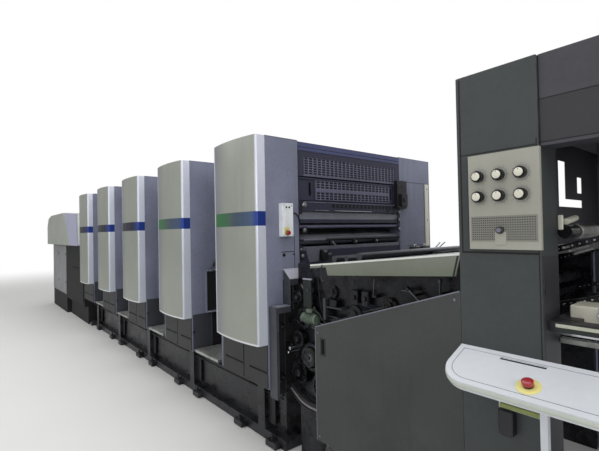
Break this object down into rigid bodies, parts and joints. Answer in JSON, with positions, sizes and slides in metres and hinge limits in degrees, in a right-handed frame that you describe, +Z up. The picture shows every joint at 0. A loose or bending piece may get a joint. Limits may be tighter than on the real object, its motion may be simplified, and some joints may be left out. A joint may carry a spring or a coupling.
{
  "type": "offset printing press",
  "caption": "Sheet-fed offset printing press with feeder, a row of upright printing units under curved silver covers, and a delivery with platform, towers and control desk.",
  "frame": {"origin": "on the floor, at the middle of the press's outer box", "axes": "+X along the line towards the delivery, +Y from the operator side to the drive side, +Z up"},
  "size_m": [11.15, 2.152, 2.17],
  "materials": {
    "cover_silver": "satin metallic paint",
    "housing_grey": "fine textured paint",
    "delivery_charcoal": "fine textured paint",
    "panel_grey": "fine textured paint",
    "bed_iron": "oily cast iron",
    "guard_black": "dark powder coat",
    "chain_black": "greased dark steel",
    "cylinder_steel": "ground steel",
    "blanket_rubber": "smooth rubber blanket",
    "roller_rubber": "smooth rubber",
    "tread_plate": "worn tread plate",
    "platform_metal": "worn paint with bare edges",
    "knob_plate": "satin paint",
    "desk_white": "satin white paint",
    "knob_black": "moulded black plastic",
    "stop_red": "moulded red plastic"
  },
  "bodies": {
    "press": {"machine_bed": "bed_iron", "lower_panels": "panel_grey", "gallery_treads": "tread_plate", "unit_1_housings": "housing_grey", "unit_1_front_cover": "cover_silver", "unit_1_guards": "guard_black", "unit_1_rollers": "roller_rubber", "unit_2_housings": "housing_grey", "unit_2_front_cover": "cover_silver", "unit_2_guards": "guard_black", "unit_2_rollers": "roller_rubber", "unit_3_housings": "housing_grey", "unit_3_front_cover": "cover_silver", "unit_3_guards": "guard_black", "unit_3_rollers": "roller_rubber", "unit_4_housings": "housing_grey", "unit_4_front_cover": "cover_silver", "unit_4_guards": "guard_black", "unit_4_rollers": "roller_rubber", "unit_5_housings": "housing_grey", "unit_5_front_cover": "cover_silver", "unit_5_guards": "guard_black", "unit_5_rollers": "roller_rubber", "step_casing": "housing_grey", "guard_bracket": "guard_black", "gear_train": "bed_iron", "delivery_frames": "bed_iron", "delivery_os_panel": "delivery_charcoal", "delivery_ds_housing": "housing_grey", "delivery_ties": "cylinder_steel", "gripper_chains": "chain_black", "platform_cover": "platform_metal", "platform_rig": "chain_black", "delivery_os_tower": "delivery_charcoal", "delivery_ds_tower": "delivery_charcoal", "delivery_header": "delivery_charcoal", "delivery_end_posts": "delivery_charcoal", "pile_lift": "cylinder_steel", "sheet_brake": "chain_black", "knob_panel": "knob_plate", "control_desk": "desk_white", "pendant_panel": "desk_white", "feeder_cabinets": "delivery_charcoal", "feeder_hood": "cover_silver", "feeder_end_plate": "knob_plate", "feeder_head": "guard_black", "feeder_pile_board": "cylinder_steel", "feed_table": "cylinder_steel"},
    "plate_cylinder": {"plate_cylinder": "cylinder_steel"},
    "blanket_cylinder": {"blanket_cylinder": "blanket_rubber"},
    "swing_guard": {"swing_guard": "guard_black"},
    "desk_stop_button": {"desk_stop_button": "stop_red"},
    "pendant_stop_button": {"pendant_stop_button": "stop_red"},
    "knob_11": {"knob_11": "knob_black"},
    "knob_12": {"knob_12": "knob_black"},
    "knob_13": {"knob_13": "knob_black"},
    "knob_21": {"knob_21": "knob_black"},
    "knob_22": {"knob_22": "knob_black"},
    "knob_23": {"knob_23": "knob_black"}
  },
  "joints": [
    {"name": "plate_cylinder_turn", "type": "hinge", "parent": "press", "child": "plate_cylinder", "pos_m": [2.585, 0.008, 1.442], "axis": [0, 1, 0], "continuous": true},
    {"name": "blanket_cylinder_turn", "type": "hinge", "parent": "press", "child": "blanket_cylinder", "pos_m": [2.585, 0.008, 1.1716], "axis": [0, 1, 0], "continuous": true},
    {"name": "swing_guard_hinge", "type": "hinge", "parent": "press", "child": "swing_guard", "pos_m": [2.814, -0.032, 1.9], "axis": [0, -1, 0], "range_deg": [0, 100]},
    {"name": "desk_stop_push", "type": "slide", "parent": "press", "child": "desk_stop_button", "axis": [0, 0.3746, -0.9272], "range_m": [0, 0.006], "stiffness_N_per_m": 600, "springref_m": -0.01},
    {"name": "pendant_stop_push", "type": "slide", "parent": "press", "child": "pendant_stop_button", "axis": [-1, 0, 0], "range_m": [0, 0.006], "stiffness_N_per_m": 600, "springref_m": -0.01},
    {"name": "knob_11_turn", "type": "hinge", "parent": "press", "child": "knob_11", "pos_m": [4.312, -0.892, 1.712], "axis": [0, -1, 0], "range_deg": [-135, 135]},
    {"name": "knob_12_turn", "type": "hinge", "parent": "press", "child": "knob_12", "pos_m": [4.391, -0.892, 1.712], "axis": [0, -1, 0], "range_deg": [-135, 135]},
    {"name": "knob_13_turn", "type": "hinge", "parent": "press", "child": "knob_13", "pos_m": [4.47, -0.892, 1.712], "axis": [0, -1, 0], "range_deg": [-135, 135]},
    {"name": "knob_21_turn", "type": "hinge", "parent": "press", "child": "knob_21", "pos_m": [4.312, -0.892, 1.633], "axis": [0, -1, 0], "range_deg": [-135, 135]},
    {"name": "knob_22_turn", "type": "hinge", "parent": "press", "child": "knob_22", "pos_m": [4.391, -0.892, 1.633], "axis": [0, -1, 0], "range_deg": [-135, 135]},
    {"name": "knob_23_turn", "type": "hinge", "parent": "press", "child": "knob_23", "pos_m": [4.47, -0.892, 1.633], "axis": [0, -1, 0], "range_deg": [-135, 135]}
  ],
  "couplings": [
    {"joint": "blanket_cylinder_turn", "follows": "plate_cylinder_turn", "ratio": -1}
  ]
}
